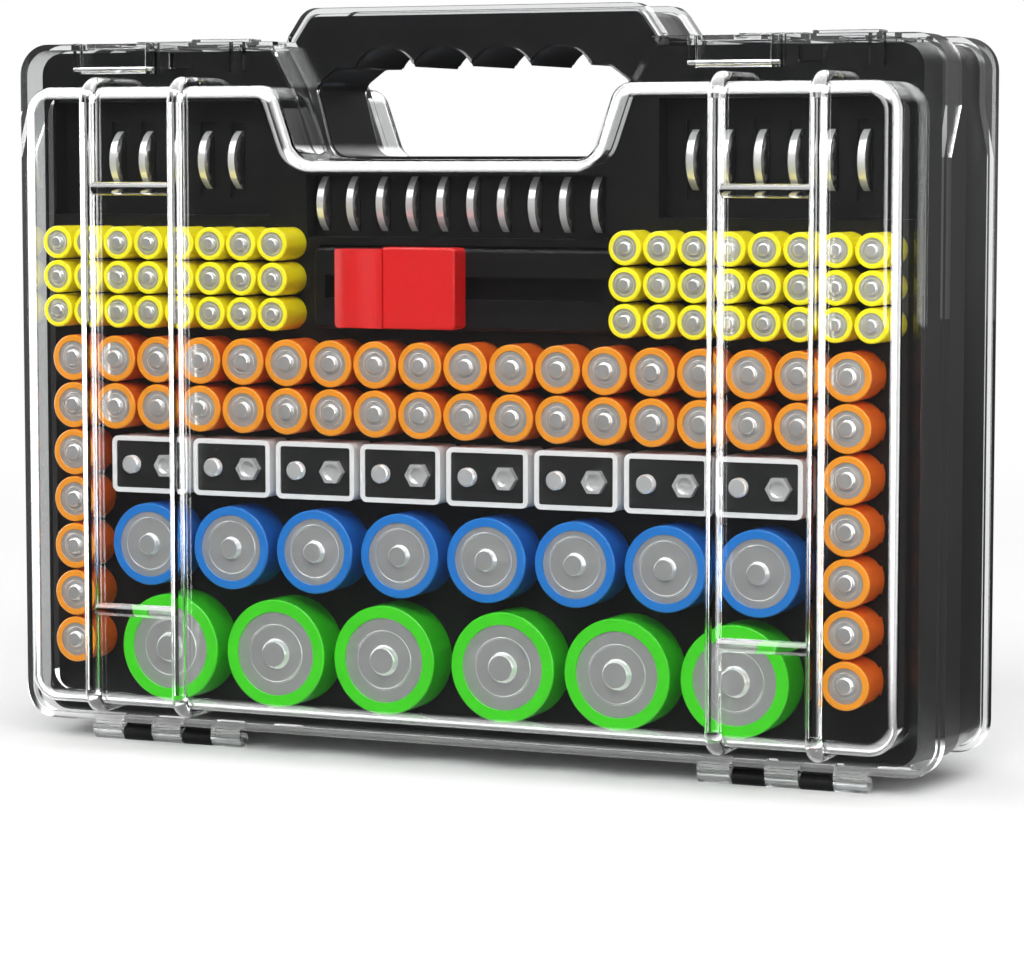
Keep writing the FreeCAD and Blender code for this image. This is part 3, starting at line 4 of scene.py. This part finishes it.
import bpy
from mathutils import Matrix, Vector


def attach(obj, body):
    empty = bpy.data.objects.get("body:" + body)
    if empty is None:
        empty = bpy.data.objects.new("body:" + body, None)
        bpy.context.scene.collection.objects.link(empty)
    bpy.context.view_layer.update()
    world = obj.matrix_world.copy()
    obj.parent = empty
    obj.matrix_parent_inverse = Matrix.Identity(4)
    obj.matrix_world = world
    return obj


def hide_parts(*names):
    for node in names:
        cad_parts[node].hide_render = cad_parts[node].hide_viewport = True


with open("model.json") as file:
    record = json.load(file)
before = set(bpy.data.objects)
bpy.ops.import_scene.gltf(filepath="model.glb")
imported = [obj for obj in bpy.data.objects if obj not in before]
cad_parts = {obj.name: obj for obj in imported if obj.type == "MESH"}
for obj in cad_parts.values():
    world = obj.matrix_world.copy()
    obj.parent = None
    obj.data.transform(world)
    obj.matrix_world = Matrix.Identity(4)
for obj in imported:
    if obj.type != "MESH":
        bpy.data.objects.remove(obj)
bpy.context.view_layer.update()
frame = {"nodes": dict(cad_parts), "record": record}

# Floor and light
# The case stands on matt white paper in a pale studio. The room ahead of it is dark, so flat
# clear plastic stays clear, and bright panels beside and above it draw white lines along its
# rounded edges. The panels are seen in mirrored rays only, and don't light the object.
WHITE = "ffffff"
PAPER = "d2d2d2"
PAPER_ROUGHNESS = 0.5
FLOOR_SIZE = 6.0
LIT_POOL_EDGE = (0.3, 1.2)
CASE_DEPTH_EDGE = (0.055, 0.085)
CASE_WIDTH_EDGE = (0.2, 0.3)
SIDE_SLANT = 1.1
SIDE_EDGE = (0.15, 0.4)
DARK_ROOM = 0.04
PANEL_GLOW = 6.0


def linear(code):
    """Linear colour of an sRGB hex value."""
    channels = [int(code[i:i + 2], 16) / 255 for i in (0, 2, 4)]
    return [c / 12.92 if c <= 0.04045 else ((c + 0.055) / 1.055) ** 2.4 for c in channels] + [1]


def material(name):
    made = bpy.data.materials.new(name)
    made.use_nodes = True
    made.node_tree.nodes.clear()
    return made


def add(tree, kind, settings=None, **links):
    """Adds a node with its settings and links, and returns its first output."""
    node = tree.nodes.new(kind)
    for name, value in (settings or {}).items():
        if isinstance(name, str) and hasattr(node, name):
            setattr(node, name, value)
        else:
            node.inputs[name].default_value = value
    for name, source in links.items():
        key = int(name[1:]) if name[0] == "i" and name[1:].isdigit() else name.replace("_", " ")
        tree.links.new(source, node.inputs[key])
    return node.outputs[0] if node.outputs else node


def finished(made, shader):
    add(made.node_tree, "ShaderNodeOutputMaterial", Surface=shader)
    return made


def deselect():
    bpy.ops.object.select_all(action="DESELECT")


def maths(tree, kind, **links):
    return add(tree, "ShaderNodeMath", {"operation": kind}, **links)


def ramp(tree, value, low, high, start=0.0, end=1.0):
    """Smooth step from start to end as the value goes from low to high."""
    return add(tree, "ShaderNodeMapRange", {"interpolation_type": "SMOOTHSTEP", "From Min": low,
               "From Max": high, "To Min": start, "To Max": end}, Value=value)


def straight_sight(tree):
    """One where the camera looks at a point directly or through clear plastic, else zero."""
    path = add(tree, "ShaderNodeLightPath").node
    glossy = path.outputs["Glossy Depth"]
    matt = path.outputs["Diffuse Depth"]
    bounces = maths(tree, "ADD", i0=glossy, i1=matt)
    return ramp(tree, bounces, 0.0, 1.0, 1.0, 0.0), ramp(tree, glossy, 0.0, 1.0)


def studio_floor():
    """White paper that is lit in a pool round the case and white to the eye beyond it.

    Mirrored in the case it is dark ahead and behind, and bright to the left and right.
    """
    made = material("matt white paper")
    tree = made.node_tree
    straight, mirrored = straight_sight(tree)
    place = add(tree, "ShaderNodeTexCoord").node.outputs["Object"]
    away = add(tree, "ShaderNodeVectorMath", {"operation": "LENGTH"}, Vector=place).node
    far = ramp(tree, away.outputs["Value"], *LIT_POOL_EDGE)
    paper = add(tree, "ShaderNodeBsdfDiffuse", {"Color": linear(PAPER),
                "Roughness": PAPER_ROUGHNESS})
    glow = add(tree, "ShaderNodeEmission", {"Color": linear(WHITE), "Strength": 1.0})
    eye = maths(tree, "MULTIPLY", i0=straight, i1=far)
    seen = add(tree, "ShaderNodeMixShader", None, Fac=eye, i1=paper, i2=glow)
    split = add(tree, "ShaderNodeSeparateXYZ", None, Vector=place).node
    across = maths(tree, "ABSOLUTE", i0=split.outputs["X"])
    along = maths(tree, "ABSOLUTE", i0=split.outputs["Y"])
    slant = add(tree, "ShaderNodeMath", {"operation": "MULTIPLY", 1: SIDE_SLANT}, i0=along)
    beside = maths(tree, "SUBTRACT", i0=across, i1=slant)
    level = ramp(tree, beside, *SIDE_EDGE, DARK_ROOM, PANEL_GLOW)
    panels = add(tree, "ShaderNodeEmission", {"Color": linear(WHITE)}, Strength=level)
    clear_of_case = maths(tree, "MAXIMUM", i0=ramp(tree, along, *CASE_DEPTH_EDGE),
                          i1=ramp(tree, across, *CASE_WIDTH_EDGE))
    away_seen = maths(tree, "MULTIPLY", i0=mirrored, i1=clear_of_case)
    return finished(made, add(tree, "ShaderNodeMixShader", None, Fac=away_seen, i1=seen,
                              i2=panels))


deselect()
bpy.ops.mesh.primitive_plane_add(size=FLOOR_SIZE, location=(0, 0, 0))
floor = bpy.context.object
floor.name = "floor"
floor.data.materials.append(studio_floor())


def softbox(name, place, target, size, power):
    """Rectangular area lamp aimed at a point."""
    lamp = bpy.data.lights.new(name, "AREA")
    lamp.shape = "RECTANGLE"
    lamp.size = size[0]
    lamp.size_y = size[1]
    lamp.energy = power
    holder = bpy.data.objects.new(name, lamp)
    bpy.context.collection.objects.link(holder)
    holder.location = place
    aim = Vector(target) - Vector(place)
    holder.rotation_euler = aim.to_track_quat("-Z", "Y").to_euler()
    return holder


CASE_MIDDLE = (0, 0, 0.1)
softbox("top_softbox", place=(0, 0.1, 1.7), target=CASE_MIDDLE, size=(2.0, 1.4), power=10)
softbox("front_softbox", place=(0.5, -1.6, 1.7), target=CASE_MIDDLE, size=(1.8, 0.9), power=34)

# Edge of each light panel along one axis of direction, as (from, to, level before, level after)
LEFT_PANEL = (-0.7, -0.84, 0.03, PANEL_GLOW)
RIGHT_PANEL = (0.66, 0.85, 0.0, PANEL_GLOW)
TOP_PANEL = (0.25, 0.6, 0.0, 5.0)
BACK_WALL = (0.0, 0.5, 0.0, 0.12)
STRIP_LEFT_EDGE = (-0.28, -0.24, 0.0, 3.0)
STRIP_RIGHT_EDGE = (0.1, 0.25, 1.0, 0.0)
STRIP_AHEAD = (-0.6, -0.4, 1.0, 0.0)
ROOM_LEVEL = 0.95
world = bpy.data.worlds.new("studio")
world.use_nodes = True
bpy.context.scene.world = world
room = world.node_tree
room.nodes.clear()
straight, mirrored = straight_sight(room)
direction = add(room, "ShaderNodeTexCoord").node.outputs["Generated"]
axes = add(room, "ShaderNodeSeparateXYZ", None, Vector=direction).node.outputs
strip = maths(room, "MULTIPLY", i0=ramp(room, axes["X"], *STRIP_LEFT_EDGE),
              i1=ramp(room, axes["X"], *STRIP_RIGHT_EDGE))
bright = maths(room, "MULTIPLY", i0=strip, i1=ramp(room, axes["Y"], *STRIP_AHEAD))
for axis, panel in (("X", LEFT_PANEL), ("X", RIGHT_PANEL), ("Z", TOP_PANEL), ("Y", BACK_WALL)):
    bright = maths(room, "MAXIMUM", i0=bright, i1=ramp(room, axes[axis], *panel))
soft = add(room, "ShaderNodeMix", {"data_type": "FLOAT", "A": ROOM_LEVEL}, Factor=mirrored,
           B=bright)
white = add(room, "ShaderNodeMix", {"data_type": "FLOAT", "B": 1.0}, Factor=straight, A=soft)
glow = add(room, "ShaderNodeBackground", {"Color": linear(WHITE)}, Strength=white)
add(room, "ShaderNodeOutputWorld", None, Surface=glow)

# Camera
# It stands to the right of the case, level with its top, and looks slightly down.
CAMERA_PLACE = (0.4428, -1.0124, 0.1876)
CAMERA_TILT = math.pi / 2 - 0.0904
CAMERA_TURN = 0.4072
LENS = 123.70
SENSOR_WIDTH = 36
NEAR_CLIP = 0.01
view = bpy.data.objects.new("camera", bpy.data.cameras.new("camera"))
bpy.context.collection.objects.link(view)
view.location = CAMERA_PLACE
view.rotation_euler = (CAMERA_TILT, 0, CAMERA_TURN)
view.data.sensor_width = SENSOR_WIDTH
view.data.lens = LENS
view.data.clip_start = NEAR_CLIP
bpy.context.scene.camera = view
bpy.context.scene.view_settings.view_transform = "Standard"

# Black tray halves
# Two injection mouldings of black ABS that meet at the middle and make the deck, the sockets
# and the grip. A fine spark-eroded texture gives a soft satin face with a faint grain.
TRAY_BLACK = "171718"
TRAY_ROUGHNESS = {"To Min": 0.3, "To Max": 0.38}
TRAY_GLOSS = 0.12
GRAIN_PITCH = 0.0006
GRAIN_DEPTH = 0.0001
GRAIN_STRENGTH = 0.03
PATCH_SCALE = 40.0
PLASTIC_IOR = 1.5
MERGE_DISTANCE = 0.000005
SMOOTH_ANGLE = 32
EDGE_ANGLE = 40
body_of_node = {node: body for body, nodes in frame["record"]["behaviour"]["bodies"].items()
                for node in nodes}


def skin(node, surface, edge=0.0):
    """Copy of a CAD node with its doubles merged and its round faces shaded smooth.

    An edge radius rounds the sharp edges of a small moulding.
    """
    source = frame["nodes"][node]
    copy = bpy.data.objects.new("skin_" + node, source.data.copy())
    bpy.context.collection.objects.link(copy)
    deselect()
    copy.select_set(True)
    bpy.context.view_layer.objects.active = copy
    bpy.ops.object.mode_set(mode="EDIT")
    bpy.ops.mesh.select_all(action="SELECT")
    bpy.ops.mesh.remove_doubles(threshold=MERGE_DISTANCE)
    bpy.ops.object.mode_set(mode="OBJECT")
    bpy.ops.mesh.customdata_custom_splitnormals_clear()
    if edge:
        soft = copy.modifiers.new("moulded edges", "BEVEL")
        soft.width = edge
        soft.segments = 3
        soft.angle_limit = math.radians(EDGE_ANGLE)
        bpy.ops.object.modifier_apply(modifier=soft.name)
    bpy.ops.object.shade_smooth_by_angle(angle=math.radians(SMOOTH_ANGLE), keep_sharp_edges=False)
    level = copy.modifiers.new("flat faces stay flat", "WEIGHTED_NORMAL")
    level.keep_sharp = True
    bpy.ops.object.modifier_apply(modifier=level.name)
    copy.data.materials.clear()
    copy.data.materials.append(surface)
    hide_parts(node)
    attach(copy, body_of_node[node])
    return copy


def moulded_abs():
    """Satin black ABS, spark-eroded in the mould."""
    made = material("spark-eroded black ABS")
    tree = made.node_tree
    place = add(tree, "ShaderNodeTexCoord").node.outputs["Object"]
    grain = add(tree, "ShaderNodeTexNoise", {"Scale": 1 / GRAIN_PITCH, "Detail": 2.0},
                Vector=place)
    patches = add(tree, "ShaderNodeTexNoise", {"Scale": PATCH_SCALE, "Detail": 3.0}, Vector=place)
    rough = add(tree, "ShaderNodeMapRange", TRAY_ROUGHNESS, Value=patches)
    bump = add(tree, "ShaderNodeBump", {"Strength": GRAIN_STRENGTH, "Distance": GRAIN_DEPTH},
               Height=grain)
    face = add(tree, "ShaderNodeBsdfPrincipled", {"Base Color": linear(TRAY_BLACK),
               "IOR": PLASTIC_IOR, "Specular IOR Level": TRAY_GLOSS},
               Roughness=rough, Normal=bump)
    return finished(made, face)


black_abs = moulded_abs()
for tray in ("front_tray", "rear_tray"):
    skin(tray, black_abs)

# Case screws
# Eight cross-head screws of zinc-plated steel close the two tray halves from the rear side.
ZINC = "b9babc"
POLISH_SCALE = 70.0
FACING_SIDEWAYS = (0.6, 0.95)


def plated_steel(name, colour, rough, metallic=1.0, edge_metallic=None):
    """Bright plated steel whose polish varies a little from place to place.

    With edge_metallic, faces that look sideways keep the full polish and the edge is satin.
    """
    made = material(name)
    tree = made.node_tree
    place = add(tree, "ShaderNodeTexCoord").node.outputs["Object"]
    marks = add(tree, "ShaderNodeTexNoise", {"Scale": POLISH_SCALE, "Detail": 2.0}, Vector=place)
    spread = add(tree, "ShaderNodeMapRange", {"To Min": rough - 0.03, "To Max": rough + 0.04},
                 Value=marks)
    face = add(tree, "ShaderNodeBsdfPrincipled", {"Base Color": linear(colour),
               "Metallic": metallic}, Roughness=spread)
    if edge_metallic is not None:
        facing = add(tree, "ShaderNodeTexCoord").node.outputs["Normal"]
        split = add(tree, "ShaderNodeSeparateXYZ", None, Vector=facing).node
        sideways = maths(tree, "ABSOLUTE", i0=split.outputs["X"])
        polish = ramp(tree, sideways, *FACING_SIDEWAYS, edge_metallic, metallic)
        tree.links.new(polish, face.node.inputs["Metallic"])
    return finished(made, face)


zinc = plated_steel("zinc-plated steel", ZINC, 0.25)
for part in ("case_screws", "front_lid_hinge_pins", "rear_lid_hinge_pins", "front_latch_pins",
             "rear_latch_pins", "tester_end_contact", "tester_slider_contact"):
    skin(part, zinc)

# Standing cells
# Steel cans in a printed plastic sleeve, whose turned-in rim leaves the nickel-plated end bare.
# Each kind has a body colour and a lighter one round its shoulder. The lighter colour is partly a
# lighter print and partly a painted highlight where the turned-in rim faces the front light.
SLEEVE_COLOURS = {
    "d_cell": ("30bd16", "42d61a"),
    "c_cell": ("1762b8", "1878cc"),
    "aa_cell": ("dc5f10", "f0981c"),
    "aaa_cell": ("f8e812", "fff41a"),
}
SHOULDER = -0.0384
SHOULDER_BLEND = 0.0003
SLEEVE_ROUGHNESS = {"To Min": 0.26, "To Max": 0.34}
SLEEVE_WAVES = 60.0
NICKEL = "dededd"


def printed_sleeve(name, colour, shoulder=None):
    """Glossy shrink sleeve, printed in one colour, or with a second, lighter colour round its
    shoulder that is partly print and partly a painted highlight on the rim facing the front
    light.
    """
    made = material(name)
    tree = made.node_tree
    place = add(tree, "ShaderNodeTexCoord").node.outputs["Object"]
    waves = add(tree, "ShaderNodeTexNoise", {"Scale": SLEEVE_WAVES, "Detail": 2.0}, Vector=place)
    rough = add(tree, "ShaderNodeMapRange", SLEEVE_ROUGHNESS, Value=waves)
    front = add(tree, "ShaderNodeSeparateXYZ", None, Vector=place).node.outputs["Y"]
    # Mask of the front rim, whose lighter colour is partly print and partly a painted highlight.
    edge = ramp(tree, front, SHOULDER, SHOULDER - SHOULDER_BLEND)
    print_and_highlight_mix = add(tree, "ShaderNodeMix", {"data_type": "RGBA"}, Factor=edge).node
    first, second = (socket for socket in print_and_highlight_mix.inputs if socket.type == "RGBA")
    first.default_value = linear(colour)
    second.default_value = linear(shoulder or colour)
    printed, = (socket for socket in print_and_highlight_mix.outputs if socket.type == "RGBA")
    face = add(tree, "ShaderNodeBsdfPrincipled", {"IOR": PLASTIC_IOR}, Roughness=rough,
               Base_Color=printed)
    return finished(made, face)


nickel = plated_steel("nickel-plated cell end", NICKEL, 0.14, 0.7)
for cell, (colour, shoulder) in SLEEVE_COLOURS.items():
    sleeve = printed_sleeve(cell.replace("_", " ") + " sleeve", colour, shoulder)
    skin(cell + "_sleeves", sleeve)
    skin(cell + "_metal_ends", nickel)

# Nine volt blocks
# Light grey rolled rim round a black plastic face, with a round and a hexagonal snap stud.
CAN_GREY = "ececec"
FACE_BLACK = "1a1a1b"
can_print = printed_sleeve("light grey printed can", CAN_GREY)
face_plastic = printed_sleeve("black terminal plate", FACE_BLACK)
skin("nine_volt_cases", can_print)
skin("nine_volt_faces", face_plastic)
stud_metal = plated_steel("nickel-plated snap stud", "f0f0f0", 0.16, 0.6)
skin("nine_volt_small_studs", stud_metal)
skin("nine_volt_large_studs", stud_metal)

# Coin cells
# Pressed and polished stainless steel discs that stand on edge in their slots.
coin_metal = plated_steel("polished stainless coin", "ececec", 0.2, 1.0, 0.45)
skin("front_coin_cells", coin_metal)
skin("rear_coin_cells", coin_metal)

# Cell tester
# A black moulded body with a gloss red slider that runs on a rail in its face.
SLIDER_RED = "da1416"
skin("tester_body", black_abs)
skin("tester_slider", printed_sleeve("gloss red ABS", SLIDER_RED))

# Lying cells on the rear side
# Shorter cells in printed sleeves, each with a bare nickel nub at one end.
ROW_COLOURS = {
    "rear_lime_cells": "73d61c",
    "rear_light_blue_cells": "378ef0",
    "rear_green_cells": "1dc31d",
    "rear_yellow_cells": "f0f03c",
    "rear_orange_cells": "f5a223",
    "rear_cyan_cells": "2aebe8",
    "rear_blue_cells": "2d5feb",
    "rear_slim_green_cells": "23af2d",
}
for row, colour in ROW_COLOURS.items():
    skin(row, printed_sleeve(row.replace("_", " ").replace("cells", "sleeve"), colour))
    skin(row.replace("_cells", "_cell_nubs"), nickel)

# Clear lids and latches
# Injection moulded clear polystyrene, polished in the mould: colourless, glossy, and bright
# where its rounded edges bend the light.
CLEAR = "fbfcfc"
CLEAR_SHADOW = "f4f5f5"
CLEAR_IOR = 1.4
GLOSS_IOR = 1.75
CLEAR_ROUGHNESS = 0.01
LATCH_EDGE = 0.0007


def clear_polystyrene():
    """Clear plastic that lets lamp light through without a dark shadow."""
    made = material("clear polystyrene")
    tree = made.node_tree
    body = add(tree, "ShaderNodeBsdfPrincipled", {"Base Color": linear(CLEAR), "IOR": CLEAR_IOR,
               "Roughness": CLEAR_ROUGHNESS, "Transmission Weight": 1.0, "Coat Weight": 1.0,
               "Coat IOR": GLOSS_IOR, "Coat Roughness": CLEAR_ROUGHNESS})
    open_way = add(tree, "ShaderNodeBsdfTransparent", {"Color": linear(CLEAR_SHADOW)})
    ray = add(tree, "ShaderNodeLightPath").node.outputs["Is Shadow Ray"]
    both = add(tree, "ShaderNodeMixShader", None, Fac=ray, i1=body, i2=open_way)
    return finished(made, both)


clear = clear_polystyrene()
for part in ("front_lid", "rear_lid"):
    skin(part, clear)
for part in ("front_left_latch", "front_right_latch", "rear_left_latch", "rear_right_latch"):
    skin(part, clear, edge=LATCH_EDGE)
